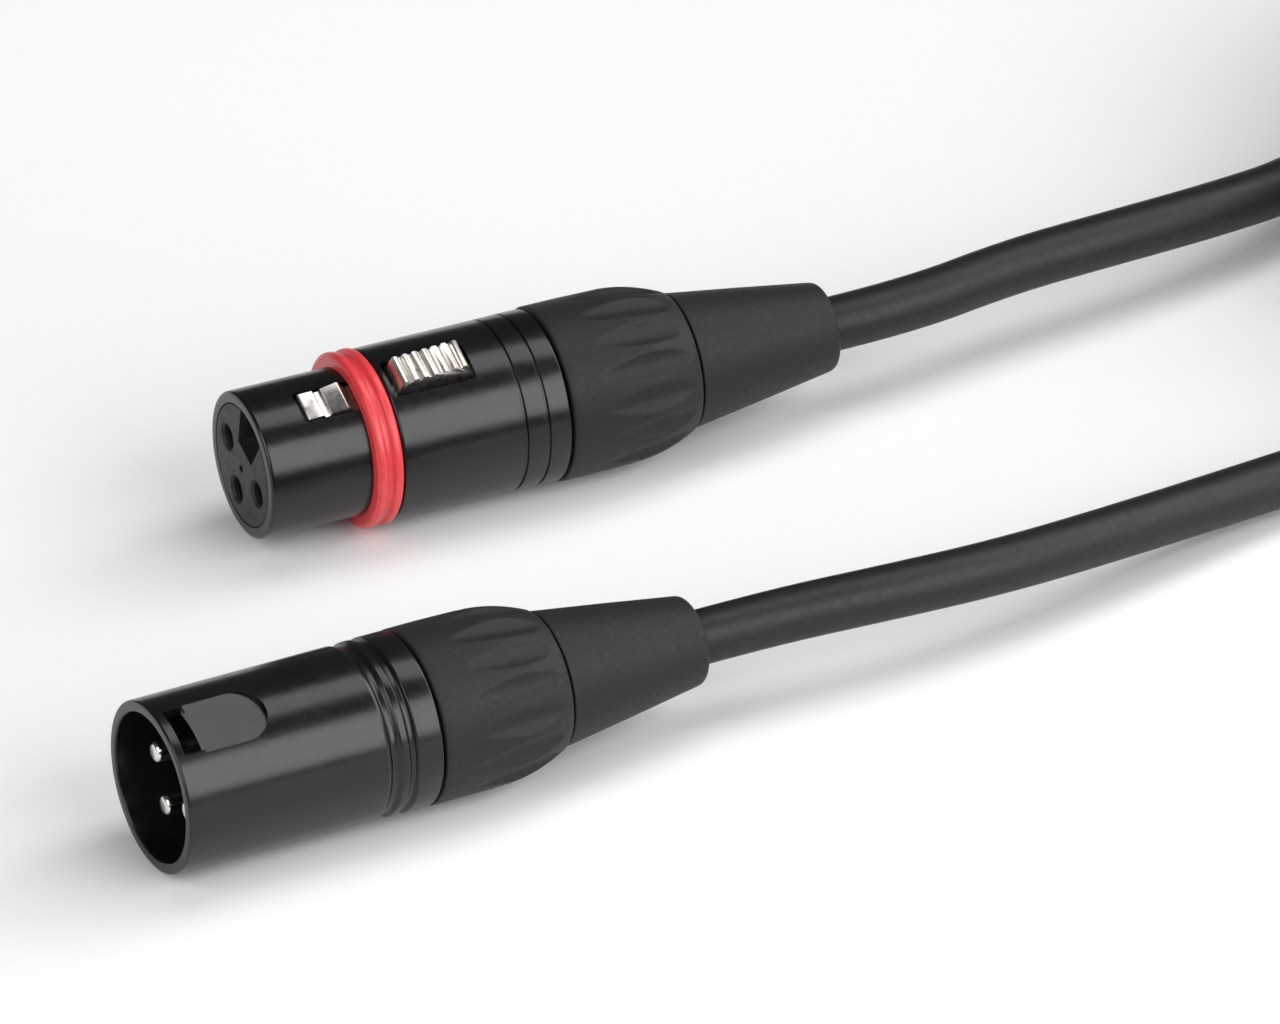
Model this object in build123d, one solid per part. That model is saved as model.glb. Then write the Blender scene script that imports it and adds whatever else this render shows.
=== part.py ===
"""Three-pole microphone cable: a female and a male XLR connector on one coiled 6 mm cable.

Millimetres. +X runs along the male connector from its open rim towards its cable, +Z is up and the
origin is the middle of the two connectors on the surface they lie on. Each connector is drawn along
its own X axis, with its front face at x = 0 and its latch, key or window on the +Z side, and is then
turned and moved to where it lies.
"""
from build123d import *
import math
import os

# ---- where the pieces lie -------------------------------------------------------------------------
AXIS_HEIGHT = 9.7                           # connector axes above the surface
MALE_FRONT = (-53.15, -26.35, AXIS_HEIGHT)
FEMALE_FRONT = (-15.65, 26.9, AXIS_HEIGHT)
FEMALE_YAW = -2.65                          # degrees about Z, against the male connector
FEMALE_ROLL = 21.0                          # degrees about its axis, latch towards -Y
MALE_ROLL = 22.5                            # the same for the male connector's window

# ---- cable ----------------------------------------------------------------------------------------
CABLE_R = 3.0
CONDUCTOR_R = 0.6
DRAIN_R = 0.45
FIRST_RUN = 10.0                            # straight on from each boot
BEND_SHARE = 0.45                           # of the shorter run, taken by each bend of the route

COIL_CENTRE = (168.8, 15.6)
COIL_MEAN_R = 34.0
COIL_LAYERS = 4
TURN_PITCH = 6.1                            # from one turn to the next, across and up
TURNS_PER_LAYER = 3.1667
TIE_T = 1.0
TIE_ARC = 16.0                              # degrees of the coil that a tie covers
TIE_ANGLES = (20.0, 200.0)
COIL_LOWEST = TIE_T + CABLE_R               # centre height of the lowest turns
COIL_HALF_W = TURN_PITCH * TURNS_PER_LAYER / 2 + CABLE_R
COIL_TOP = COIL_LOWEST + (COIL_LAYERS - 1) * TURN_PITCH + CABLE_R

# ---- contacts, to the common three-pole pattern -----------------------------------------------------
PIN_R = 1.2
SOCKET_BORE_R = 1.3
SOCKET_R = 1.85
CONTACT_CIRCLE_R = 4.1
CONTACTS = ((CONTACT_CIRCLE_R, 0.0), (-CONTACT_CIRCLE_R, 0.0), (0.0, -CONTACT_CIRCLE_R))

# ---- female connector -------------------------------------------------------------------------------
F_JOINT = 34.7                              # plane between the shell and the rubber grip
NOSE_R = 8.15
NOSE_BORE_R = 6.9
BODY_R = 9.45
BAND_R = 9.5
SHELL_BORE_R = 8.3
NOSE_END = 15.0
NOSE_BORE_END = 16.2
RING_R = 9.7
RING_X = (11.8, 14.9)
SLOT_X = (5.35, NOSE_END)
SLOT_HALF_W = 2.05
WINDOW_X = (15.6, 25.2)
WINDOW_HALF_W = 2.45
INSERT_SOLID_END = 21.0
INSERT_END = 26.6
SKIRT_BORE_R = 5.9
CHANNEL_FLOOR = 4.5
LATCH_PIVOT = (25.4, 6.2)                   # x, z of the latch's pin
LATCH_PIN_R = 0.45
LATCH_HALF_W = 1.75
PAD_HALF_W = 1.8
PAD_RIBS = 7
PAD_RIB_PITCH = 1.13
SPRING_X = 15.0
SPRING_R = 1.15
SPRING_WIRE_R = 0.18
SPRING_Z = (3.45, 6.15)
FEMALE_CUP_END = 24.6

# ---- male connector ---------------------------------------------------------------------------------
M_JOINT = 30.0
MALE_R = 9.5
CUP_R = 8.25
CUP_DEPTH = 14.5
PIN_TIP = 2.25
MALE_INSERT_END = 20.0
MALE_CUP_END = 22.8
MALE_WINDOW_X = (1.1, 3.6)
MALE_WINDOW_HALF_W = 2.95
PANEL_Z = 8.85
PANEL_ROUND_X = 8.55
PANEL_ROUND_R = 3.25

# ---- cable clamp, grip and boot, the same on both connectors; x counts from the joint plane ---------
GRIP_X = (0.25, 16.25)
GRIP_R = 9.65
GRIP_END_R = 7.75
GRIP_FLAT_END = 9.0
SPIGOT_FRONT = -7.6
SPIGOT_R = 8.18
SPIGOT_BORE_R = 6.45
CHUCK_X = (-4.6, 12.9)
CHUCK_R = 6.3
CHUCK_END_R = 4.7
CHUCK_TAPER_X = 7.4
CHUCK_BORE_R = 3.3
CHUCK_SLOTS = 4
FLUTES = 16
FLUTE_TOOL_R = 2.2
FLUTE_LINE = ((4.0, 9.7), (15.0, 8.2))      # x and radius of a flute's lowest line, at two places
BOOT_SPIGOT_R = 5.6
BOOT_X = (16.5, 34.0)
BOOT_R = (7.5, 4.9)
BOOT_ROUND_R = 1.5
BOOT_BORE_R = 3.3

FEMALE_EXIT = F_JOINT + BOOT_X[1]
MALE_EXIT = M_JOINT + BOOT_X[1]
JACKET_FRONT = -3.6                         # from the joint plane, just inside the clamp


def placed(front, yaw, roll):
    """Location of a connector's own frame in the object's frame."""
    return Pos(*front) * Rot(0, 0, yaw) * Rot(roll, 0, 0)


def turned(points):
    """Solid of revolution about X from a closed outline of (x, radius) points."""
    return revolve(make_face(Polyline(*points, close=True)), Axis.X)


def rod(radius, x0, x1, y=0.0, z=0.0):
    """Round bar along X from x0 to x1."""
    return Pos((x0 + x1) / 2, y, z) * Rot(0, 90, 0) * Cylinder(radius, x1 - x0)


def block(x0, x1, y0, y1, z0, z1):
    """Box between two corners."""
    return Pos((x0 + x1) / 2, (y0 + y1) / 2, (z0 + z1) / 2) * Box(x1 - x0, y1 - y0, z1 - z0)


def side_plate(points, half_width):
    """Plate with an outline of (x, z) points, centred across Y."""
    outline = make_face(Polyline(*[(x, 0, z) for x, z in points], close=True))
    return extrude(outline, half_width, dir=(0, 1, 0), both=True)


def shift_x(points, dx):
    return [(x + dx, r) for x, r in points]


# ---- female connector -------------------------------------------------------------------------------
def female_shell():
    groove = 0.25
    grooves = [p for x in (29.2, 31.8)
               for p in ((x, BAND_R - groove), (x + 0.3, BAND_R - groove), (x + 0.3, BAND_R))]
    shell = turned([
        (0, 7.8), (0.35, NOSE_R), (NOSE_END, NOSE_R), (NOSE_END, BODY_R - 0.25), (NOSE_END + 0.25, BODY_R),
        (29.2, BODY_R), *grooves[:3], (31.8, BAND_R), *grooves[3:],
        (F_JOINT - 0.3, BAND_R), (F_JOINT - 0.1, BAND_R - 0.2), (F_JOINT - 0.1, SHELL_BORE_R),
        (NOSE_BORE_END, SHELL_BORE_R), (NOSE_BORE_END, NOSE_BORE_R), (0, NOSE_BORE_R)])
    shell -= block(*SLOT_X, -SLOT_HALF_W, SLOT_HALF_W, 4, 12)
    shell -= block(NOSE_END - 0.1, WINDOW_X[0] + 0.1, -SLOT_HALF_W, SLOT_HALF_W, 4, 7.9)
    shell -= block(*WINDOW_X, -WINDOW_HALF_W, WINDOW_HALF_W, 4, 12)
    return shell


def keyway(x0, x1):
    """Wedge-shaped slot that takes the male connector's key."""
    half = [(1.8, 2.05), (2.6, 5.8), (2.65, 8.0)]
    outline = [(0, y, z) for y, z in half] + [(0, -y, z) for y, z in reversed(half)]
    face = make_face(Polyline(*outline, close=True))
    return Pos(x0, 0, 0) * extrude(face, x1 - x0, dir=(1, 0, 0))


def female_insert():
    front_r = NOSE_BORE_R - 0.05
    insert = turned([
        (0, 0), (0, front_r - 0.25), (0.25, front_r), (16.4, front_r), (16.4, 8.2), (INSERT_END, 8.2),
        (INSERT_END, SKIRT_BORE_R), (INSERT_SOLID_END, SKIRT_BORE_R), (INSERT_SOLID_END, 0)])
    insert -= keyway(-1, 12)
    insert -= block(5.0, 15.7, -SLOT_HALF_W, SLOT_HALF_W, CHANNEL_FLOOR, 9)
    insert -= block(WINDOW_X[0], INSERT_END + 1, -2.3, 2.3, CHANNEL_FLOOR, 9)
    insert -= Pos(SPRING_X, 0, 3.2 + 1) * Cylinder(1.7, 2)
    for y, z in CONTACTS:
        insert -= rod(SOCKET_BORE_R + 0.05, -1, 1, y, z)
        insert -= rod(SOCKET_R + 0.05, 0.8, INSERT_END, y, z)
    insert -= rod(0.45, -1, 0.6, 0, 0)
    insert -= latch_pin(LATCH_PIN_R)
    return insert


def female_contact(y, z):
    """Socket sleeve with two slits and a solder cup at the back."""
    contact = turned([
        (0.9, SOCKET_BORE_R), (0.9, SOCKET_R), (19, SOCKET_R), (19, 1.5), (FEMALE_CUP_END, 1.5),
        (FEMALE_CUP_END, 1.05), (21.8, 1.05), (21.8, 0), (13, 0), (13, SOCKET_BORE_R)])
    contact -= block(0.5, 9, -0.15, 0.15, -2, 2)
    contact -= block(22.6, 25, -2, 2, 0.3, 2)
    return Pos(0, y, z) * contact


def latch_pin(radius):
    x, z = LATCH_PIVOT
    return Pos(x, 0, z) * Rot(90, 0, 0) * Cylinder(radius, 9.4)


def latch():
    """Hook plate in the nose, strip under the ring and ribbed thumb pad, on one pivot."""
    strip = side_plate([
        (5.9, 6.4), (5.9, 7.75), (6.15, 7.95), (7.7, 7.95), (7.95, 7.6), (8.4, 7.6), (8.65, 8.0),
        (10.5, 8.55), (10.85, 8.0), (11.6, 7.35), (25.4, 7.2), (25.4, 5.2), (24.4, 6.2)], LATCH_HALF_W)
    top = [(16.15, 7.2), (16.15, 8.9)]
    for i in range(PAD_RIBS):
        x = 16.55 + i * PAD_RIB_PITCH
        peak = 10.55 + 0.07 * i
        top += [(x, peak - 0.35), (x + 0.2, peak), (x + 0.7, peak), (x + 0.9, peak - 0.35)]
    pad = side_plate(top + [(24.7, 9.3), (24.7, 7.2)], PAD_HALF_W)
    x, z = LATCH_PIVOT
    knuckle = Pos(x, 0, z) * Rot(90, 0, 0) * Cylinder(1.0, 2 * PAD_HALF_W)
    return strip + pad + knuckle - latch_pin(LATCH_PIN_R + 0.05)


def latch_spring():
    low, high = SPRING_Z
    path = Helix(pitch=0.75, height=high - low, radius=SPRING_R)
    wire = sweep(Plane(path @ 0, z_dir=path % 0) * Circle(SPRING_WIRE_R), path=path, is_frenet=True)
    return Pos(SPRING_X, 0, low) * wire


def coding_ring():
    """Coloured ring with a groove between two raised rims."""
    x0, x1 = RING_X
    mid = (x0 + x1) / 2
    profile = (Polyline((x0, RING_R - 0.6), (x0, NOSE_R + 0.03), (x1, NOSE_R + 0.03), (x1, RING_R - 0.6))
               + ThreePointArc((x1, RING_R - 0.6), (x1 - 0.55, RING_R), (x1 - 1.1, RING_R - 0.35))
               + ThreePointArc((x1 - 1.1, RING_R - 0.35), (mid, RING_R - 0.55), (x0 + 1.1, RING_R - 0.35))
               + ThreePointArc((x0 + 1.1, RING_R - 0.35), (x0 + 0.55, RING_R), (x0, RING_R - 0.6)))
    return revolve(make_face(profile), Axis.X)


# ---- male connector ---------------------------------------------------------------------------------
def male_shell():
    shell = turned([
        (0, CUP_R), (0, MALE_R - 0.3), (0.3, MALE_R), (23.5, MALE_R), (24.1, MALE_R - 0.4), (24.7, MALE_R - 0.4),
        (25.1, MALE_R + 0.05), (25.9, MALE_R + 0.05), (26.2, MALE_R - 0.35), (26.7, MALE_R - 0.35),
        (27.0, MALE_R + 0.1), (M_JOINT - 0.3, MALE_R + 0.1), (M_JOINT - 0.1, MALE_R - 0.1),
        (M_JOINT - 0.1, SHELL_BORE_R), (MALE_INSERT_END, SHELL_BORE_R), (MALE_INSERT_END, CUP_R)])
    shell -= block(*MALE_WINDOW_X, -MALE_WINDOW_HALF_W, MALE_WINDOW_HALF_W, 4, 12)
    shell -= block(MALE_WINDOW_X[1] - 0.1, PANEL_ROUND_X, -PANEL_ROUND_R, PANEL_ROUND_R, PANEL_Z, 12)
    shell -= Pos(PANEL_ROUND_X, 0, PANEL_Z + 1.5) * Cylinder(PANEL_ROUND_R, 3)
    return shell


def male_insert():
    insert = turned([(CUP_DEPTH, 0), (CUP_DEPTH, CUP_R - 0.05), (MALE_INSERT_END, CUP_R - 0.05),
                     (MALE_INSERT_END, 0)])
    tongue = [(1.2, 3.0), (2.0, 5.7), (-2.0, 5.7), (-1.2, 3.0)]
    face = make_face(Polyline(*[(0, y, z) for y, z in tongue], close=True))
    insert += Pos(8.0, 0, 0) * extrude(face, CUP_DEPTH - 8.0 + 0.5, dir=(1, 0, 0))
    for y, z in CONTACTS:
        insert -= rod(PIN_R + 0.03, CUP_DEPTH - 1, CUP_DEPTH + 1.5, y, z)
        insert -= rod(1.63, CUP_DEPTH + 1, MALE_INSERT_END + 1, y, z)
    return insert


def male_pin(y, z):
    """Round-nosed contact pin with a collar in the insert and a solder cup at the back."""
    nose = 0.8
    outline = (Polyline((PIN_TIP, 0), (PIN_TIP, PIN_R - nose))
               + ThreePointArc((PIN_TIP, PIN_R - nose),
                               (PIN_TIP + nose * (1 - math.sqrt(0.5)), PIN_R - nose * (1 - math.sqrt(0.5))),
                               (PIN_TIP + nose, PIN_R))
               + Polyline((PIN_TIP + nose, PIN_R), (CUP_DEPTH, PIN_R), (CUP_DEPTH, 1.0), (CUP_DEPTH + 1.1, 1.0),
                          (CUP_DEPTH + 1.1, 1.6), (19, 1.6),
                          (19, 1.5), (MALE_CUP_END, 1.5), (MALE_CUP_END, 1.05), (20.6, 1.05), (20.6, 0),
                          (PIN_TIP, 0)))
    pin = revolve(make_face(outline), Axis.X)
    pin -= block(21.0, 25, -2, 2, 0.3, 2)
    return Pos(0, y, z) * pin


# ---- clamp, grip and boot ---------------------------------------------------------------------------
def chuck(joint):
    """Slotted collet that grips the jacket when the grip is screwed home."""
    x0, x1 = CHUCK_X
    body = turned(shift_x([
        (x0, CHUCK_BORE_R), (x0, CHUCK_R), (CHUCK_TAPER_X, CHUCK_R), (x1, CHUCK_END_R),
        (x1, CHUCK_BORE_R)], joint))
    for i in range(CHUCK_SLOTS):
        slot = block(joint + 2.0, joint + x1 + 1, -0.4, 0.4, 2, 8)
        body -= Rot(45 + 360 / CHUCK_SLOTS * i, 0, 0) * slot
    return body


def flute_tool(joint):
    """Slanted bar whose lower side follows one flute's lowest line."""
    (xa, ra), (xb, rb) = FLUTE_LINE
    slope = math.atan2(ra - rb, xb - xa)
    x_mid, r_mid = joint + (xa + xb) / 2, (ra + rb) / 2
    lift = FLUTE_TOOL_R / math.cos(slope)
    return Pos(x_mid, 0, r_mid + lift) * Rot(0, 90 + math.degrees(slope), 0) * Cylinder(FLUTE_TOOL_R, 24)


def bushing(joint):
    """Fluted rubber grip on a hollow spigot that screws into the shell."""
    x0, x1 = GRIP_X
    spigot_and_front = shift_x([
        (GRIP_FLAT_END, GRIP_R), (x0 + 0.2, GRIP_R), (x0, GRIP_R - 0.2), (x0, SPIGOT_R),
        (SPIGOT_FRONT + 0.2, SPIGOT_R), (SPIGOT_FRONT, SPIGOT_R - 0.2), (SPIGOT_FRONT, SPIGOT_BORE_R),
        (CHUCK_TAPER_X + 0.1, SPIGOT_BORE_R), (13.3, CHUCK_END_R + 0.15), (14.0, CHUCK_END_R + 0.15),
        (14.0, BOOT_SPIGOT_R + 0.02), (x1, BOOT_SPIGOT_R + 0.02), (x1, GRIP_END_R - 0.25),
        (x1 - 0.2, GRIP_END_R)], joint)
    crown = ThreePointArc((joint + GRIP_FLAT_END, GRIP_R), (joint + 12.8, 9.03),
                          (joint + x1 - 0.2, GRIP_END_R))
    grip = revolve(make_face(Polyline(*spigot_and_front) + crown), Axis.X)
    for i in range(FLUTES):
        grip -= Rot(360 / FLUTES * (i + 0.5), 0, 0) * flute_tool(joint)
    return grip


def boot(joint):
    """Conical rubber strain relief with a rounded end."""
    x0, x1 = BOOT_X
    round_r = BOOT_ROUND_R
    side = shift_x([
        (x1, BOOT_R[1] - round_r), (x1, BOOT_BORE_R), (14.2, BOOT_BORE_R), (14.2, BOOT_SPIGOT_R),
        (x0, BOOT_SPIGOT_R), (x0, BOOT_R[0] - 0.15), (x0 + 0.15, BOOT_R[0]), (x1 - round_r, BOOT_R[1])], joint)
    end = ThreePointArc((joint + x1 - round_r, BOOT_R[1]),
                        (joint + x1 - round_r * (1 - math.sqrt(0.5)), BOOT_R[1] - round_r * (1 - math.sqrt(0.5))),
                        (joint + x1, BOOT_R[1] - round_r))
    return revolve(make_face(Polyline(*side) + end), Axis.X)


# ---- cable inside the connectors --------------------------------------------------------------------
def cable_end(joint):
    return rod(CABLE_R, joint + JACKET_FRONT, joint + BOOT_X[1])


def wire(joint, cup_end, contact, radius):
    """Insulated conductor or screen drain from the jacket's end into a solder cup."""
    y, z = contact
    start = joint + JACKET_FRONT
    path = FilletPolyline((start, y * 0.3, z * 0.3), (start - 1.2, y * 0.3, z * 0.3),
                          (cup_end + 0.5, y, z), (cup_end - 1.6, y, z), radius=0.7)
    return sweep(Plane(path @ 0, z_dir=path % 0) * Circle(radius), path=path)


# ---- free cable -------------------------------------------------------------------------------------
def first_run(location, boot_end):
    """Ends of the route's first run, straight on from the boot."""
    return [tuple((location * Pos(x, 0, 0)).position) for x in (boot_end, boot_end + FIRST_RUN)]


def female_route(first):
    """From the female boot to the lowest outer turn of the coil."""
    return [*first, (77.0, 25.7, 9.5), (90.0, 26.6, 9.0), (103.0, 28.1, 8.1), (115.0, 31.0, 6.7),
            (129.5, 38.8, 4.9), (140.6, 49.0, 4.0)]


def male_route(first):
    """From the male boot to the highest outer turn of the coil."""
    return [*first, (34.0, -27.1, 9.4), (48.0, -26.6, 8.4), (64.0, -23.6, 6.6), (82.5, -19.5, 4.5),
            (100.2, -16.6, 3.3), (114.2, -16.7, 8.0), (127.7, -19.0, 18.5), (140.7, -22.6, 22.3),
            (153.8, -25.4, 22.3)]


def route_radii(points):
    """Largest arc that the two runs at each corner leave room for."""
    radii = []
    for a, b, c in zip(points, points[1:], points[2:]):
        before, after = Vector(*b) - Vector(*a), Vector(*c) - Vector(*b)
        turn = math.radians(before.get_angle(after))
        radii.append(BEND_SHARE * min(before.length, after.length) / math.tan(turn / 2))
    return radii


def lead(name, points):
    """Tube along straight runs and tangent arcs."""
    radii = route_radii(points)
    path = FilletPolyline(*points, radius=radii)
    tube = sweep(Plane(path @ 0, z_dir=path % 0) * Circle(CABLE_R), path=path)
    runs = [(Vector(*b) - Vector(*a)).length for a, b in zip(points, points[1:])]
    print(name, "runs", [round(r, 1) for r in runs], "radii", [round(r, 1) for r in radii])
    print(name, "length %.1f volume %.1f section x length %.1f"
          % (path.length, tube.volume, math.pi * CABLE_R ** 2 * path.length))
    return tube


def coil_section(grow):
    """Rounded outline of the wound turns, grown by a wall thickness, in the XZ plane."""
    width = 2 * (COIL_HALF_W + grow)
    height = COIL_TOP - TIE_T + 2 * grow
    outline = RectangleRounded(width, height, CABLE_R + grow)
    return Pos(COIL_MEAN_R, 0, (COIL_TOP + TIE_T) / 2) * Rot(90, 0, 0) * outline


def cable_coil():
    return Pos(*COIL_CENTRE, 0) * revolve(coil_section(0), Axis.Z)


def coil_tie(angle):
    """Hook-and-loop band around the turns."""
    band = revolve(coil_section(TIE_T), Axis.Z, TIE_ARC) - revolve(coil_section(0), Axis.Z)
    return Pos(*COIL_CENTRE, 0) * Rot(0, 0, angle - TIE_ARC / 2) * band


# ---- assembly ---------------------------------------------------------------------------------------
def shared_pieces(side, joint, cup_end):
    """Clamp, grip, boot and inner cable of one connector, in its own frame."""
    pieces = {side + "_chuck": chuck(joint), side + "_bushing": bushing(joint), side + "_boot": boot(joint),
              side + "_cable_end": cable_end(joint)}
    for name, contact, radius in (("hot", CONTACTS[0], CONDUCTOR_R), ("cold", CONTACTS[1], CONDUCTOR_R),
                                  ("screen", CONTACTS[2], DRAIN_R)):
        pieces[side + "_wire_" + name] = wire(joint, cup_end, contact, radius)
    return pieces


def female_pieces():
    pieces = {"female_shell": female_shell(), "female_insert": female_insert(), "coding_ring": coding_ring(),
              "latch": latch(), "latch_pin": latch_pin(LATCH_PIN_R), "latch_spring": latch_spring()}
    for number, contact in enumerate(CONTACTS, 1):
        pieces["female_contact_%d" % number] = female_contact(*contact)
    return pieces | shared_pieces("female", F_JOINT, FEMALE_CUP_END)


def male_pieces():
    pieces = {"male_shell": male_shell(), "male_insert": male_insert()}
    for number, contact in enumerate(CONTACTS, 1):
        pieces["male_pin_%d" % number] = male_pin(*contact)
    return pieces | shared_pieces("male", M_JOINT, MALE_CUP_END)


def free_cable(female_at, male_at):
    pieces = {"female_lead": lead("female_lead", female_route(first_run(female_at, FEMALE_EXIT))),
              "male_lead": lead("male_lead", male_route(first_run(male_at, MALE_EXIT))),
              "cable_coil": cable_coil()}
    for number, angle in enumerate(TIE_ANGLES, 1):
        pieces["coil_tie_%d" % number] = coil_tie(angle)
    return pieces


def main():
    female_at = placed(FEMALE_FRONT, FEMALE_YAW, FEMALE_ROLL)
    male_at = placed(MALE_FRONT, 0, MALE_ROLL)
    connectors = {name: female_at * piece for name, piece in female_pieces().items()}
    connectors |= {name: male_at * piece for name, piece in male_pieces().items()}
    boxes = [piece.bounding_box() for piece in connectors.values()]
    print("connectors from", [round(min(getattr(b.min, axis) for b in boxes), 3) for axis in "XYZ"],
          "to", [round(max(getattr(b.max, axis) for b in boxes), 3) for axis in "XYZ"])
    os.makedirs("parts", exist_ok=True)
    for name, piece in (connectors | free_cable(female_at, male_at)).items():
        export_step(piece, "parts/" + name + ".step")


main()
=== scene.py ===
"""Looks of the microphone cable: two XLR connectors, their leads and the tied coil.

Lengths inside a connector are in millimetres in that connector's own frame: X runs from its front
face to its cable and +Z is the side of its latch, key or window. Everything else is in metres.
"""
import math

import bmesh
import bpy
from mathutils import Matrix, Vector


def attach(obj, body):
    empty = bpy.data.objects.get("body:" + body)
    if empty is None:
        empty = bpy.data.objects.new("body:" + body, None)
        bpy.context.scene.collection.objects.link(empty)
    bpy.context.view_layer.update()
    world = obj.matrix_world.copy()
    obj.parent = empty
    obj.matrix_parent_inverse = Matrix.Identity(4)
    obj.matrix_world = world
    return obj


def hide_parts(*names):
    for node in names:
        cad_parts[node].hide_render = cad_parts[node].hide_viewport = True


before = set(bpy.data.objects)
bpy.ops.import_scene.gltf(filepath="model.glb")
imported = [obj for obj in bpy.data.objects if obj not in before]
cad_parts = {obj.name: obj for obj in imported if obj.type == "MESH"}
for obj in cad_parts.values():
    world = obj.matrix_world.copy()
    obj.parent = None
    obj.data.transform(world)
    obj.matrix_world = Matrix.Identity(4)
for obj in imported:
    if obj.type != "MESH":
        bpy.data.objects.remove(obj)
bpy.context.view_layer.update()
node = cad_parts

# ---- where the connectors lie, as in the CAD model ---------------------------------------------------
AXIS_HEIGHT = 0.0097
MALE_FRONT = Vector((-0.05315, -0.02635, AXIS_HEIGHT))
FEMALE_FRONT = Vector((-0.01565, 0.0269, AXIS_HEIGHT))
FEMALE_YAW = math.radians(-2.65)
FEMALE_ROLL = math.radians(21.0)
MALE_ROLL = math.radians(22.5)
FEMALE_JOINT = 34.7
MALE_JOINT = 30.0
BOOT_END = 34.0
MM = 0.001


def own_frame(front, yaw, roll):
    """Matrix from a connector's millimetres to the object's metres."""
    turn = Matrix.Rotation(yaw, 4, "Z") @ Matrix.Rotation(roll, 4, "X")
    return Matrix.Translation(front) @ turn @ Matrix.Scale(MM, 4)


FEMALE = own_frame(FEMALE_FRONT, FEMALE_YAW, FEMALE_ROLL)
MALE = own_frame(MALE_FRONT, 0.0, MALE_ROLL)


# ---- camera ------------------------------------------------------------------------------------------
CAMERA_AZIMUTH = math.radians(-27.3)
CAMERA_ELEVATION = math.radians(31.8)
CAMERA_DISTANCE = 3.0
VIEW_WIDTH = 0.1346                          # what the view spans at the male connector's front
MALE_FRONT_IN_VIEW = (-0.05152, -0.02902)    # right and up of the view's middle


def make_camera():
    right = Vector((math.cos(CAMERA_AZIMUTH), math.sin(CAMERA_AZIMUTH), 0))
    level = Vector((-right.y, right.x, 0))
    ahead = level * math.cos(CAMERA_ELEVATION) - Vector((0, 0, math.sin(CAMERA_ELEVATION)))
    up = right.cross(ahead)
    across, rise = MALE_FRONT_IN_VIEW
    data = bpy.data.cameras.new("camera")
    data.sensor_width = 36.0
    data.lens = data.sensor_width * CAMERA_DISTANCE / VIEW_WIDTH
    data.clip_start, data.clip_end = 0.05, 20.0
    camera = bpy.data.objects.new("camera", data)
    bpy.context.scene.collection.objects.link(camera)
    camera.location = MALE_FRONT - right * across - up * rise - ahead * CAMERA_DISTANCE
    camera.rotation_mode = "QUATERNION"
    camera.rotation_quaternion = ahead.to_track_quat("-Z", "Y")
    bpy.context.scene.camera = camera


make_camera()


# ---- materials ---------------------------------------------------------------------------------------
class Recipe:
    """A node material with one Principled shader and short calls for what feeds it."""

    def __init__(self, name, **values):
        self.material = bpy.data.materials.new(name)
        self.material.use_nodes = True
        self.tree = self.material.node_tree
        self.shader = self.tree.nodes["Principled BSDF"]
        for socket, value in values.items():
            self.shader.inputs[socket.replace("_", " ")].default_value = value
        self.coords = self.tree.nodes.new("ShaderNodeTexCoord").outputs["Object"]
        self.normal = None

    def link(self, source, target):
        self.tree.links.new(source, target)

    def mapped(self, scale=(1, 1, 1), turn=(0, 0, 0)):
        """Object coordinates, turned and then stretched."""
        mapping = self.tree.nodes.new("ShaderNodeMapping")
        mapping.vector_type = "POINT"
        mapping.inputs["Rotation"].default_value = turn
        mapping.inputs["Scale"].default_value = scale
        self.link(self.coords, mapping.inputs["Vector"])
        return mapping.outputs["Vector"]

    def noise(self, scale, detail=3.0, rough=0.5, vector=None):
        noise = self.tree.nodes.new("ShaderNodeTexNoise")
        noise.inputs["Scale"].default_value = scale
        noise.inputs["Detail"].default_value = detail
        noise.inputs["Roughness"].default_value = rough
        self.link(vector or self.coords, noise.inputs["Vector"])
        return noise.outputs["Fac"]

    def specks(self, scale, vector=None):
        """Distance to scattered points, 0 at each point."""
        cells = self.tree.nodes.new("ShaderNodeTexVoronoi")
        cells.inputs["Scale"].default_value = scale
        self.link(vector or self.coords, cells.inputs["Vector"])
        return cells.outputs["Distance"]

    def ramp(self, source, stops):
        """Colour or grey that runs between two (position, value) stops."""
        ramp = self.tree.nodes.new("ShaderNodeValToRGB")
        for element, (position, value) in zip(ramp.color_ramp.elements, stops):
            element.position = position
            element.color = (*value, 1) if isinstance(value, tuple) else (value, value, value, 1)
        self.link(source, ramp.inputs["Fac"])
        return ramp.outputs["Color"]

    def colour(self, source, low, high, start=0.3, end=0.7):
        self.link(self.ramp(source, [(start, low), (end, high)]), self.shader.inputs["Base Color"])

    def roughness(self, source, low, high, start=0.3, end=0.7):
        self.link(self.ramp(source, [(start, low), (end, high)]), self.shader.inputs["Roughness"])

    def bump(self, source, height, strength=1.0):
        """Adds a bump of that height in metres over the ones before it."""
        bump = self.tree.nodes.new("ShaderNodeBump")
        bump.inputs["Strength"].default_value = strength
        bump.inputs["Distance"].default_value = height
        self.link(source, bump.inputs["Height"])
        if self.normal:
            self.link(self.normal, bump.inputs["Normal"])
        self.normal = bump.outputs["Normal"]
        self.link(self.normal, self.shader.inputs["Normal"])


def lacquer():
    """Glossy black lacquer over die-cast zinc."""
    m = Recipe("shell_lacquer", Specular_IOR_Level=0.46)
    m.colour(m.noise(220, 4), (0.0040, 0.0040, 0.0046), (0.0070, 0.0070, 0.0077))
    m.roughness(m.noise(900, 5, 0.6), 0.20, 0.27)
    m.bump(m.noise(650, 3), 0.00003, 0.35)
    m.bump(m.specks(1500), 0.000008, 0.3)
    return m.material


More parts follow.
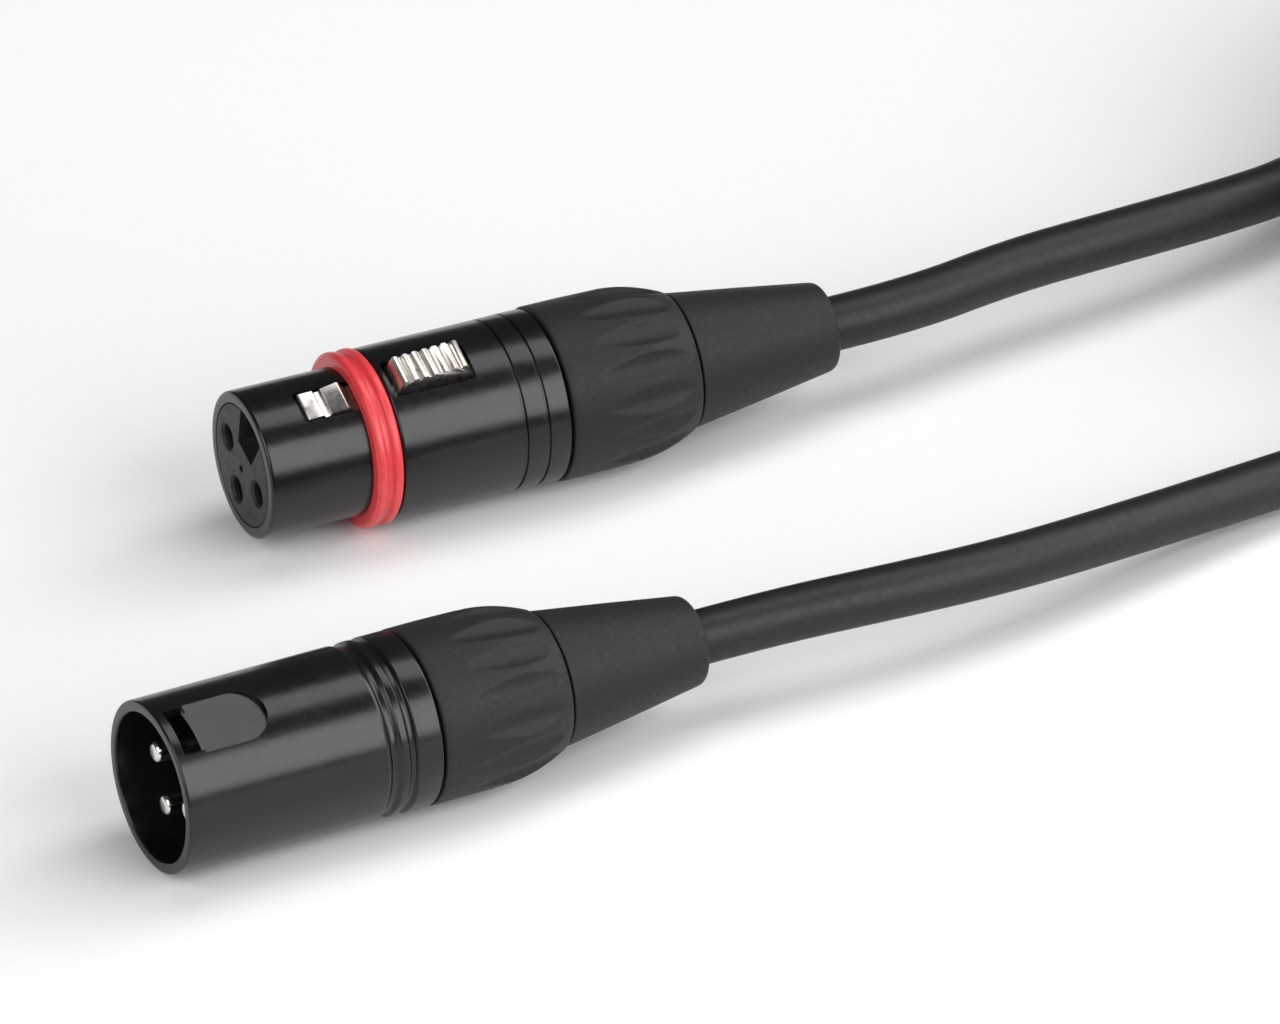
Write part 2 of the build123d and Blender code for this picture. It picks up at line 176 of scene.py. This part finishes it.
def insert_plastic():
    m = Recipe("insert_plastic", Specular_IOR_Level=0.3)
    m.colour(m.noise(700, 5), (0.013, 0.013, 0.015), (0.022, 0.022, 0.024))
    m.roughness(m.noise(1500, 4), 0.42, 0.56)
    m.bump(m.noise(5200, 3), 0.00002, 0.5)
    return m.material


def rubber(name, shade):
    """Matte moulded rubber with fine pits and pale dust specks."""
    m = Recipe(name, Specular_IOR_Level=0.3, Sheen_Weight=0.02, Sheen_Roughness=0.5)
    low = tuple(shade * k for k in (0.82, 0.82, 0.85))
    high = tuple(shade * k for k in (1.22, 1.22, 1.25))
    m.colour(m.noise(2600, 5, 0.7), low, high)
    m.roughness(m.noise(1800, 4), 0.50, 0.64)
    m.bump(m.noise(420, 2), 0.00006, 0.3)
    m.bump(m.noise(6500, 3, 0.7), 0.00003, 0.55)
    return m.material


def ring_plastic():
    m = Recipe("ring_red", Specular_IOR_Level=0.5, Subsurface_Weight=0.08, Subsurface_Scale=0.001)
    m.colour(m.noise(350, 4), (0.62, 0.042, 0.048), (0.71, 0.056, 0.063))
    m.roughness(m.noise(1400, 4), 0.27, 0.38)
    m.bump(m.noise(2400, 3), 0.00002, 0.35)
    return m.material


def plated(name, low, high, rough):
    """Bright plated metal with faint rolling lines along X."""
    m = Recipe(name, Metallic=1.0)
    lines = m.noise(500, 4, 0.6, m.mapped(scale=(1, 12, 12)))
    m.colour(lines, low, high)
    m.roughness(m.noise(1300, 4), rough - 0.05, rough + 0.07)
    m.bump(lines, 0.00001, 0.4)
    return m.material


def cable_jacket():
    """Satin black PVC with faint drawing lines along the cable and a slight orange peel."""
    m = Recipe("cable_jacket", Specular_IOR_Level=0.32)
    m.colour(m.noise(1500, 4), (0.009, 0.009, 0.010), (0.015, 0.015, 0.017))
    m.roughness(m.noise(900, 5), 0.40, 0.52)
    m.bump(m.noise(300, 2), 0.0001, 0.22)
    m.bump(m.noise(3800, 4, 0.6), 0.00003, 0.5)
    return m.material


def plain_plastic(name, low, high):
    m = Recipe(name, Specular_IOR_Level=0.5)
    m.colour(m.noise(800, 4), low, high)
    m.roughness(m.noise(1600, 3), 0.35, 0.5)
    m.bump(m.noise(3000, 3), 0.00002, 0.4)
    return m.material


def strap_fabric():
    """Woven nylon backing of hook-and-loop tape."""
    m = Recipe("strap_loops", Specular_IOR_Level=0.3, Sheen_Weight=0.35, Sheen_Roughness=0.45)
    cells = m.specks(1700)
    m.colour(cells, (0.030, 0.030, 0.033), (0.009, 0.009, 0.010), 0.1, 0.6)
    m.roughness(m.noise(2000, 3), 0.72, 0.92)
    m.bump(cells, 0.0002, 0.9)
    m.bump(m.noise(5200, 4, 0.7), 0.0001, 0.6)
    return m.material


def floor_card():
    m = Recipe("floor_card", Specular_IOR_Level=0.2)
    m.colour(m.noise(6, 3), (0.86, 0.86, 0.86), (0.88, 0.88, 0.88))
    m.roughness(m.noise(9, 2), 0.75, 0.82)
    return m.material


LACQUER = lacquer()
INSERT = insert_plastic()
GRIP_RUBBER = rubber("grip_rubber", 0.012)
BOOT_RUBBER = rubber("boot_rubber", 0.011)
RING = ring_plastic()
NICKEL = plated("latch_nickel", (0.82, 0.77, 0.71), (0.92, 0.88, 0.83), 0.30)
SILVER = plated("contact_silver", (0.78, 0.76, 0.71), (0.90, 0.89, 0.86), 0.18)
# Near-black metal for the inside of the sockets' bores: painted shade, since the real bores are
# silver-plated like the rest of each contact.
BORE_PAINTED_SHADE = plated("contact_bore_painted_shade", (0.05, 0.05, 0.05), (0.09, 0.09, 0.08), 0.45)
STEEL = plated("spring_steel", (0.50, 0.50, 0.51), (0.62, 0.62, 0.63), 0.26)
COPPER = plated("screen_copper", (0.62, 0.58, 0.52), (0.74, 0.70, 0.64), 0.32)
JACKET = cable_jacket()
CLAMP = plain_plastic("clamp_nylon", (0.52, 0.51, 0.48), (0.62, 0.61, 0.58))
WIRE_RED = plain_plastic("wire_red", (0.40, 0.02, 0.02), (0.52, 0.03, 0.03))
WIRE_WHITE = plain_plastic("wire_white", (0.72, 0.72, 0.70), (0.80, 0.80, 0.78))
STRAP = strap_fabric()


# ---- mesh tools --------------------------------------------------------------------------------------
def rounded(points, steps=5):
    """Closed outline with its corners rounded; each point is (x, y) or (x, y, radius)."""
    outline = []
    for i, (x, y, *radius) in enumerate(points):
        here = Vector((x, y))
        if not radius:
            outline.append(here)
            continue
        before = Vector(points[i - 1][:2]) - here
        after = Vector(points[(i + 1) % len(points)][:2]) - here
        half = before.angle(after) / 2
        reach = min(radius[0] / math.tan(half), 0.49 * before.length, 0.49 * after.length)
        a, b = here + before.normalized() * reach, here + after.normalized() * reach
        for k in range(steps + 1):
            t = k / steps
            outline.append(a * (1 - t) ** 2 + here * 2 * t * (1 - t) + b * t ** 2)
    return outline


def new_object(name, mesh):
    piece = bpy.data.objects.new(name, mesh)
    bpy.context.scene.collection.objects.link(piece)
    return piece


def mesh_piece(name, verts, faces, place=None):
    mesh = bpy.data.meshes.new(name)
    mesh.from_pydata([tuple(v) for v in verts], [], faces)
    work = bmesh.new()
    work.from_mesh(mesh)
    bmesh.ops.remove_doubles(work, verts=work.verts, dist=1e-6)
    bmesh.ops.recalc_face_normals(work, faces=work.faces)
    work.to_mesh(mesh)
    work.free()
    if place is not None:
        mesh.transform(place)
    return new_object(name, mesh)


def lathe(name, outline, place, segments=192, radius_at=None):
    """Solid of revolution about X from a closed (x, radius) outline; radius_at may modulate it."""
    verts, faces, count = [], [], len(outline)
    for s in range(segments):
        angle = 2 * math.pi * s / segments
        for x, r in outline:
            r = radius_at(x, r, angle) if radius_at else r
            verts.append((x, r * math.cos(angle), r * math.sin(angle)))
    for s in range(segments):
        a, b = s * count, (s + 1) % segments * count
        for i in range(count):
            j = (i + 1) % count
            face = (a + i, a + j, b + j, b + i)
            if outline[i][1] < 1e-9 and outline[j][1] < 1e-9:
                continue
            faces.append(face)
    return mesh_piece(name, verts, faces, place)


def prism(name, outline, low, high, place, axes=(0, 1, 2)):
    """Straight solid of a closed outline; axes says which of x, y, z are the outline's and the depth's."""
    verts = []
    for depth in (low, high):
        for a, b in outline:
            point = [0.0, 0.0, 0.0]
            point[axes[0]], point[axes[1]], point[axes[2]] = a, b, depth
            verts.append(point)
    count = len(outline)
    faces = [tuple(range(count)), tuple(range(count, 2 * count))]
    faces += [(i, (i + 1) % count, count + (i + 1) % count, count + i) for i in range(count)]
    return mesh_piece(name, verts, faces, place)


def box_outline(x0, x1, y0, y1, radius):
    return rounded([(x0, y0, radius), (x1, y0, radius), (x1, y1, radius), (x0, y1, radius)], 4)


def apply_modifiers(piece):
    graph = bpy.context.evaluated_depsgraph_get()
    mesh = bpy.data.meshes.new_from_object(piece.evaluated_get(graph))
    piece.modifiers.clear()
    piece.data = mesh


def carve(piece, *cutters, operation="DIFFERENCE"):
    for cutter in cutters:
        boolean = piece.modifiers.new("cut", "BOOLEAN")
        boolean.solver = "EXACT"
        boolean.operation = operation
        boolean.object = cutter
    bpy.context.view_layer.update()
    apply_modifiers(piece)
    for cutter in cutters:
        bpy.data.objects.remove(cutter)


def smooth(piece, angle=32):
    """Smooth shading that stays crisp over edges sharper than the angle."""
    work = bmesh.new()
    work.from_mesh(piece.data)
    for face in work.faces:
        face.smooth = True
    for edge in work.edges:
        if len(edge.link_faces) == 2:
            edge.smooth = edge.calc_face_angle(0) < math.radians(angle)
    work.to_mesh(piece.data)
    work.free()


def dress(piece, material, body, slot, *replaced):
    piece.data.materials.clear()
    piece.data.materials.append(material)
    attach(piece, body)
    if replaced:
        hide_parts(*replaced)
    return piece


# ---- female connector --------------------------------------------------------------------------------
NOSE_R, NOSE_BORE_R = 8.15, 6.9
BODY_R, SHELL_BORE_R = 9.45, 8.3
SLOT_HALF_W, WINDOW_HALF_W = 2.05, 2.45
LATCH_HALF_W, PAD_HALF_W = 1.75, 1.8
PAD_RIBS, PAD_RIB_PITCH = 7, 1.13


def groove(x, top, depth, width):
    """Points of a narrow groove in a surface of that radius."""
    return [(x, top, 0.08), (x + 0.05, top - depth, 0.08), (x + width - 0.05, top - depth, 0.08),
            (x + width, top, 0.08)]


def female_shell():
    outline = rounded([
        (0, NOSE_BORE_R, 0.1), (0, NOSE_R, 0.45), (15.0, NOSE_R, 0.1), (15.0, BODY_R, 0.3),
        *groove(29.2, BODY_R, 0.25, 0.35), *groove(31.8, BODY_R + 0.04, 0.25, 0.35),
        (34.6, BODY_R + 0.04, 0.25), (34.6, SHELL_BORE_R), (16.2, SHELL_BORE_R), (16.2, NOSE_BORE_R)])
    shell = lathe("female_shell_skin", outline, FEMALE)
    slot = prism("slot", box_outline(5.35, 15.0, -SLOT_HALF_W, SLOT_HALF_W, 0.3), 4, 12, FEMALE)
    passage = prism("passage", box_outline(14.5, 15.9, -SLOT_HALF_W, SLOT_HALF_W, 0.05), 4, 7.9, FEMALE)
    window = prism("window", box_outline(15.6, 25.2, -WINDOW_HALF_W, WINDOW_HALF_W, 0.4), 4, 12, FEMALE)
    carve(shell, slot, passage, window)
    smooth(shell)
    dress(shell, LACQUER, "root", "shell", "female_shell")


CONTACTS = ((4.1, 0.0), (-4.1, 0.0), (0.0, -4.1))
SOCKET_R, SOCKET_BORE_R, SOCKET_DEPTH = 1.7, 1.3, 13.0
FACE_HOLE_R, CONTACT_CLEARANCE_R = 1.35, 1.75


def round_bar(name, radius, x0, x1, y, z, place, segments=40):
    bar = lathe(name, [(x0, 0), (x0, radius), (x1, radius), (x1, 0)], Matrix.Identity(4), segments)
    bar.data.transform(place @ Matrix.Translation((0, y, z)))
    return bar


def female_insert():
    front_r = NOSE_BORE_R - 0.05
    outline = rounded([(0, 0), (0, front_r, 0.25), (16.4, front_r), (16.4, 8.2), (26.6, 8.2), (26.6, 5.9),
                       (21, 5.9), (21, 0)])
    insert = lathe("female_insert_face", outline, FEMALE)
    half = [(1.8, 2.05, 0.25), (2.6, 5.8), (2.65, 8.0)]
    key = rounded(half + [(-y, z, *r) for y, z, *r in reversed(half)])
    cutters = []
    for y, z in CONTACTS:
        rim = [(-0.3, 0), (-0.3, FACE_HOLE_R + 0.6), (0.3, FACE_HOLE_R), (0.8, FACE_HOLE_R),
               (0.8, CONTACT_CLEARANCE_R), (22, CONTACT_CLEARANCE_R), (22, 0)]
        cutters.append(lathe("hole", rim, FEMALE @ Matrix.Translation((0, y, z)), 48))
    cutters += [prism("key", key, -1, 12, FEMALE, (1, 2, 0)),
                prism("channel", box_outline(5, 15.7, -SLOT_HALF_W, SLOT_HALF_W, 0.1), 4.5, 9, FEMALE),
                prism("rear_channel", box_outline(15.6, 28, -2.3, 2.3, 0.1), 4.4, 9, FEMALE),
                round_bar("dimple", 0.45, -1, 0.6, 0, -0.6, FEMALE)]
    carve(insert, *cutters)
    smooth(insert)
    dress(insert, INSERT, "root", "insert", "female_insert")


def female_contacts():
    outline = rounded([
        (0.9, SOCKET_BORE_R), (0.9, SOCKET_R, 0.12), (19, SOCKET_R), (19, 1.5), (24.6, 1.5, 0.1),
        (24.6, 1.05, 0.1), (21.8, 1.05), (21.8, 0), (SOCKET_DEPTH, 0), (SOCKET_DEPTH, SOCKET_BORE_R)])
    for number, (y, z) in enumerate(CONTACTS, 1):
        place = FEMALE @ Matrix.Translation((0, y, z))
        contact = lathe("socket_%d" % number, outline, Matrix.Identity(4), 48)
        slit = prism("slit", box_outline(0.5, 9, -0.15, 0.15, 0.05), -2, 2, Matrix.Identity(4))
        cup = prism("cup", box_outline(22.6, 25, -2, 2, 0.05), 0.3, 2, Matrix.Identity(4))
        carve(contact, slit, cup)
        smooth(contact)
        dress(contact, SILVER, "root", "contact", "female_contact_%d" % number)
        # The wall and bottom of each socket's bore get the near-black painted-shade material.
        contact.data.materials.append(BORE_PAINTED_SHADE)
        for face in contact.data.polygons:
            deep = face.center.x < SOCKET_DEPTH + 0.1
            inner = math.hypot(*face.center.yz) < SOCKET_BORE_R + 0.05
            face.material_index = 1 if deep and inner else 0
        contact.data.transform(place)


def latch():
    """Bent nickel latch: hook plate in the nose, strip under the ring, ribbed thumb pad."""
    strip_side = rounded([
        (5.9, 6.4, 0.1), (5.9, 7.9, 0.35), (7.7, 7.98, 0.15), (7.95, 7.6, 0.15), (8.4, 7.6, 0.15),
        (8.65, 8.02, 0.15), (10.5, 8.55, 0.2), (10.95, 7.9, 0.2), (11.6, 7.35, 0.3), (25.2, 7.15),
        (25.2, 5.3),
        (24.4, 6.2)])
    top = [(16.15, 7.2), (16.15, 8.9, 0.3)]
    for i in range(PAD_RIBS):
        x, peak = 16.55 + i * PAD_RIB_PITCH, 10.55 + 0.07 * i
        top += [(x, peak - 0.35, 0.1), (x + 0.22, peak, 0.2), (x + 0.72, peak, 0.2),
                (x + 0.92, peak - 0.35, 0.1)]
    pad_side = rounded(top + [(24.7, 9.3, 0.3), (24.7, 7.2)])
    piece = prism("latch_body", strip_side, -LATCH_HALF_W, LATCH_HALF_W, FEMALE, (0, 2, 1))
    pad = prism("pad", pad_side, -PAD_HALF_W, PAD_HALF_W, FEMALE, (0, 2, 1))
    knuckle = lathe("knuckle", [(-PAD_HALF_W, 0), (-PAD_HALF_W, 1), (PAD_HALF_W, 1), (PAD_HALF_W, 0)],
                    FEMALE @ Matrix.Translation((25.4, 0, 6.2)) @ Matrix.Rotation(math.pi / 2, 4, "Z"), 48)
    carve(piece, pad, knuckle, operation="UNION")
    edge = piece.modifiers.new("edge", "BEVEL")
    edge.width, edge.segments, edge.limit_method = 0.12 * MM, 3, "ANGLE"
    edge.angle_limit = math.radians(50)
    apply_modifiers(piece)
    smooth(piece, 40)
    dress(piece, NICKEL, "latch", "latch", "latch")


def coding_ring():
    outline = rounded([
        (11.8, 8.18), (11.8, 9.25, 0.3), (12.15, 9.7, 0.35), (12.8, 9.68, 0.35), (13.05, 9.22, 0.3),
        (13.65, 9.22, 0.3), (13.9, 9.68, 0.35), (14.55, 9.7, 0.35), (14.9, 9.25, 0.3), (14.9, 8.18)])
    ring = lathe("coding_ring_rubber", outline, FEMALE, 224)
    smooth(ring, 50)
    dress(ring, RING, "root", "ring", "coding_ring")


# ---- male connector ----------------------------------------------------------------------------------
MALE_R, CUP_R, CUP_DEPTH = 9.5, 8.25, 14.5
PANEL_Z = 8.85


def male_shell():
    outline = rounded([
        (0, CUP_R, 0.25), (0, MALE_R, 0.3), (23.5, MALE_R, 0.8), (24.1, MALE_R - 0.4, 0.6),
        (24.7, MALE_R - 0.4, 0.3), (25.1, MALE_R + 0.05, 0.3), (25.9, MALE_R + 0.05, 0.25),
        (26.2, MALE_R - 0.35, 0.2), (26.7, MALE_R - 0.35, 0.2), (27.0, MALE_R + 0.1, 0.2),
        (29.9, MALE_R + 0.1, 0.25), (29.9, 8.3), (20, 8.3), (20, CUP_R)])
    shell = lathe("male_shell_skin", outline, MALE)
    window = prism("window", box_outline(1.1, 3.6, -2.95, 2.95, 0.2), 4, 12, MALE)
    round_x, round_r = 8.55, 3.25
    end = [(round_x + round_r * math.sin(a), -round_r * math.cos(a))
           for a in (math.pi * k / 24 for k in range(25))]
    panel = [(3.5, round_r)] + [(3.5, -round_r)] + end
    recess = prism("recess", panel, PANEL_Z, 12, MALE)
    carve(shell, window, recess)
    smooth(shell)
    dress(shell, LACQUER, "root", "shell", "male_shell")


def male_insert():
    outline = rounded([(CUP_DEPTH, 0), (CUP_DEPTH, CUP_R - 0.05, 0.2), (20, CUP_R - 0.05), (20, 0)])
    insert = lathe("male_insert_face", outline, MALE)
    tongue = rounded([(1.2, 3.0, 0.2), (2.0, 5.7, 0.3), (-2.0, 5.7, 0.3), (-1.2, 3.0, 0.2)])
    key = prism("key", tongue, 8.0, CUP_DEPTH + 0.5, MALE, (1, 2, 0))
    carve(insert, key, operation="UNION")
    collars = [round_bar("collar", 1.23, CUP_DEPTH - 1, 21, y, z, MALE) for y, z in CONTACTS]
    carve(insert, *collars)
    smooth(insert)
    dress(insert, INSERT, "root", "insert", "male_insert")


def male_pins():
    outline = rounded([
        (2.25, 0), (2.25, 1.2, 0.85), (CUP_DEPTH, 1.2), (CUP_DEPTH, 1.1), (15.6, 1.1), (15.6, 1.2),
        (19, 1.2), (19, 1.5), (22.8, 1.5, 0.1), (22.8, 1.05, 0.1), (20.6, 1.05), (20.6, 0)], 8)
    for number, (y, z) in enumerate(CONTACTS, 1):
        pin = lathe("pin_%d" % number, outline, MALE @ Matrix.Translation((0, y, z)), 64)
        smooth(pin)
        dress(pin, SILVER, "root", "contact", "male_pin_%d" % number)


# ---- grips and boots ---------------------------------------------------------------------------------
GRIP_R, GRIP_END_R, GRIP_FLAT_END = 9.65, 7.75, 9.0
GRIP_X = (0.25, 16.25)
FLUTES, FLUTE_TOOL_R = 16, 1.5
FLUTE_LINE = ((4.0, 9.7), (15.0, 8.2))       # x and radius of a flute's lowest line, at two places
FLUTE_FADE = (13.6, 1.9)                     # where a flute starts to run out, and how soon it is gone
FLUTE_EDGE = 0.012                           # rounding where a flute meets the surface
SPIGOT_FRONT = -7.6
SPIGOT_R = 8.18
THREAD_PITCH, THREAD_DEPTH = 1.5, 0.45
BOOT_X, BOOT_R, BOOT_SPIGOT_R = (16.5, BOOT_END), (7.5, 4.85), 5.6


def crown(x):
    """Radius of the grip's outside, flat and then falling away to the boot."""
    t = max(0.0, (x - GRIP_FLAT_END) / (GRIP_X[1] - GRIP_FLAT_END))
    return GRIP_R + (GRIP_END_R - GRIP_R) * t ** 1.75


def flute_depth(x, angle):
    """Depth of the nearest hollow under the grip's surface."""
    (x0, r0), (x1, r1) = FLUTE_LINE
    lowest = r0 - (x - x0) * (r0 - r1) / (x1 - x0)
    centre_depth = crown(x) - lowest
    fade_x, fade_run = FLUTE_FADE
    if x > fade_x:
        centre_depth *= max(0.0, 1 - ((x - fade_x) / fade_run) ** 2)
    pitch = 2 * math.pi / FLUTES
    off = (angle / pitch - math.floor(angle / pitch) - 0.5) * pitch
    across = crown(x) * abs(off)
    depth = centre_depth - across ** 2 / (2 * FLUTE_TOOL_R)
    return FLUTE_EDGE * math.log1p(math.exp(min(depth / FLUTE_EDGE, 60.0)))


def grip_surface(joint):
    def radius_at(x, r, angle):
        own = x - joint
        if own > 1.0 and abs(r - crown(own)) < 1e-6:
            return r - max(0.0, flute_depth(own, angle) - 0.002)
        if own < 0 and r > 8.1:
            phase = (own / THREAD_PITCH - angle / (2 * math.pi)) % 1.0
            ridge = min(1.0, max(0.0, 2.4 * abs(phase - 0.5) - 0.25) / 0.6)
            fade = min(1.0, max(0.0, (own - SPIGOT_FRONT) / 0.8))
            return r - THREAD_DEPTH * (1 - ridge) * fade
        return r
    return radius_at


def grip(name, joint, place, body, node_name):
    front, rear = GRIP_X
    rows = [(1.2 + (rear - 0.35 - 1.2) * k / 70) for k in range(71)]
    side = [(x, crown(x)) for x in rows]
    threads = [(SPIGOT_FRONT + 0.3 + (0.1 - SPIGOT_FRONT - 0.3) * k / 70, SPIGOT_R) for k in range(71)]
    outline = [(SPIGOT_FRONT, 6.45), (SPIGOT_FRONT, 7.9), *threads, (front, SPIGOT_R),
               (front, GRIP_R - 0.25), (front + 0.03, GRIP_R - 0.14), (front + 0.12, GRIP_R - 0.04),
               (front + 0.25, GRIP_R), *side, (rear - 0.15, crown(rear) + 0.02),
               (rear - 0.04, crown(rear) - 0.1), (rear, crown(rear) - 0.3), (rear, 5.62), (14.0, 5.62),
               (14.0, 4.85), (13.3, 4.85), (7.5, 6.45)]
    outline = [(x + joint, r) for x, r in outline]
    piece = lathe(name, outline, place, 384, grip_surface(joint))
    smooth(piece, 38)
    dress(piece, GRIP_RUBBER, body, "grip", node_name)


def boot(name, joint, place, body, node_name):
    outline = rounded([
        (14.2, 3.3), (14.2, BOOT_SPIGOT_R), (BOOT_X[0], BOOT_SPIGOT_R), (BOOT_X[0], BOOT_R[0], 0.2),
        (25.0, 6.25), (BOOT_X[1], BOOT_R[1], 2.2), (BOOT_X[1], 3.3, 0.12)], 8)
    outline = [(x + joint, r) for x, r in outline]
    piece = lathe(name, outline, place, 160)
    smooth(piece)
    dress(piece, BOOT_RUBBER, body, "boot", node_name)


# ---- free cable --------------------------------------------------------------------------------------
CABLE_R = 3.0
COIL_CENTRE = Vector((168.8, 15.6, 0))
COIL_MEAN_R = 34.0
COIL_LAYERS = 4
TURN_PITCH = 6.1
TURNS_PER_LAYER = 3.1667
COIL_START = math.radians(130)
COIL_LOWEST = 4.0
POINTS_PER_TURN = 20
FIRST_RUN = 10.0

# from the female boot to the lowest outer turn of the coil
FEMALE_ROUTE = [(77.0, 25.7, 9.5), (90.0, 26.6, 9.0), (103.0, 28.1, 8.1), (115.0, 31.0, 6.7),
                (129.5, 38.8, 4.9)]
# from the highest outer turn of the coil to the male boot
MALE_ROUTE = [(140.7, -22.6, 22.3), (127.7, -19.0, 18.5), (114.2, -16.7, 8.0), (100.2, -16.6, 3.3),
              (82.5, -19.5, 4.5), (64.0, -23.6, 6.6), (48.0, -26.6, 8.4), (34.0, -27.1, 9.4)]


def first_run(place, boot_end):
    """Ends of the route's first run, straight on from a boot, in millimetres."""
    return [place @ Vector((x, 0, 0)) / MM for x in (boot_end, boot_end + FIRST_RUN)]


def coil_point(turns, outward=0.0):
    """Centre of the cable after that many turns, in millimetres."""
    layer = min(int(turns / TURNS_PER_LAYER), COIL_LAYERS - 1)
    share = turns / TURNS_PER_LAYER - layer
    half_width = TURN_PITCH * TURNS_PER_LAYER / 2
    side = 1 - 2 * share if layer % 2 == 0 else 2 * share - 1
    radius = COIL_MEAN_R + half_width * side
    climb = max(0.0, (share - 1) * TURNS_PER_LAYER / 0.16 + 1) if layer < COIL_LAYERS - 1 else 0.0
    climb = climb * climb * (3 - 2 * climb)
    height = COIL_LOWEST + TURN_PITCH * (layer + climb)
    angle = COIL_START - turns * 2 * math.pi
    radius *= 1 + 0.008 * math.sin(2 * angle + 0.7)
    reach = radius + outward
    return COIL_CENTRE + Vector((reach * math.cos(angle), reach * math.sin(angle), height))


def coil_route():
    """Control points of the wound turns, pushed out as far as the smooth line cuts inside them."""
    total = COIL_LAYERS * TURNS_PER_LAYER
    count = round(total * POINTS_PER_TURN)
    cut = 1 - (3 + math.cos(2 * math.pi / POINTS_PER_TURN)) / 4
    return [coil_point(total * k / count, COIL_MEAN_R * cut) for k in range(count + 1)]


def free_cable():
    female_end = first_run(FEMALE, FEMALE_JOINT + BOOT_END)
    male_end = first_run(MALE, MALE_JOINT + BOOT_END)
    route = [*female_end, *FEMALE_ROUTE, *coil_route(), *MALE_ROUTE, *reversed(male_end)]
    data = bpy.data.curves.new("cable", "CURVE")
    data.dimensions = "3D"
    spline = data.splines.new("NURBS")
    spline.points.add(len(route) - 1)
    for point, place in zip(spline.points, route):
        point.co = (*(Vector(place) * MM), 1)
    spline.order_u = 3
    spline.use_endpoint_u = True
    spline.resolution_u = 8
    data.bevel_depth = CABLE_R * MM
    data.bevel_resolution = 10
    data.use_fill_caps = True
    piece = new_object("cable", data)
    piece.data.materials.append(JACKET)
    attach(piece, "root")
    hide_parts("female_lead", "male_lead", "cable_coil")


# ---- what the CAD model shows as it is ---------------------------------------------------------------
def cad_pieces():
    shown = {"coil_tie_1": STRAP, "coil_tie_2": STRAP, "latch_pin": STEEL, "latch_spring": STEEL}
    for side in ("female", "male"):
        shown |= {side + "_chuck": CLAMP, side + "_cable_end": JACKET, side + "_wire_hot": WIRE_RED,
                  side + "_wire_cold": WIRE_WHITE, side + "_wire_screen": COPPER}
    for name, material in shown.items():
        node[name].data.materials.clear()
        node[name].data.materials.append(material)


# ---- floor and light ---------------------------------------------------------------------------------
def floor():
    card = mesh_piece("floor", [(-9, -9, 0), (9, -9, 0), (9, 9, 0), (-9, 9, 0)], [(0, 1, 2, 3)])
    card.location.z = -0.0001
    card.data.materials.append(floor_card())


def softbox(name, lean, lift, distance, size, watts):
    """Rectangular light facing the object, its first side along X.

    Lean is the sine of its direction toward +X, lift its angle up from -Y, about the X axis.
    """
    a, around = math.radians(lift), math.sqrt(1 - lean ** 2)
    back = Vector((lean, -around * math.cos(a), around * math.sin(a)))
    side = (Vector((1, 0, 0)) - back * lean).normalized()
    data = bpy.data.lights.new(name, "AREA")
    data.shape = "RECTANGLE"
    data.size, data.size_y = size
    data.energy = watts
    lamp = new_object(name, data)
    lamp.rotation_mode = "QUATERNION"
    lamp.rotation_quaternion = Matrix((side, back.cross(side), back)).transposed().to_quaternion()
    lamp.location = back * distance


def light():
    world = bpy.data.worlds.new("studio")
    bpy.context.scene.world = world
    world.use_nodes = True
    back = world.node_tree.nodes["Background"]
    back.inputs["Color"].default_value = (0.80, 0.82, 0.86, 1)
    back.inputs["Strength"].default_value = 0.08
    softbox("front", 0.39, 31, 1.5, (1.25, 1.15), 18)
    softbox("overhead", 0.39, 95, 1.2, (1.25, 0.55), 5.5)
    softbox("left", -0.72, 58, 1.6, (1.3, 1.3), 16)
    softbox("right", 0.88, 80, 1.6, (1.0, 1.3), 12)
    bpy.context.scene.view_settings.view_transform = "Standard"


free_cable()
female_shell()
female_insert()
female_contacts()
latch()
coding_ring()
male_shell()
male_insert()
male_pins()
for side, joint, place in (("female", FEMALE_JOINT, FEMALE), ("male", MALE_JOINT, MALE)):
    grip(side + "_grip_rubber", joint, place, side + "_grip", side + "_bushing")
    boot(side + "_boot_rubber", joint, place, side + "_grip", side + "_boot")
cad_pieces()
floor()
light()
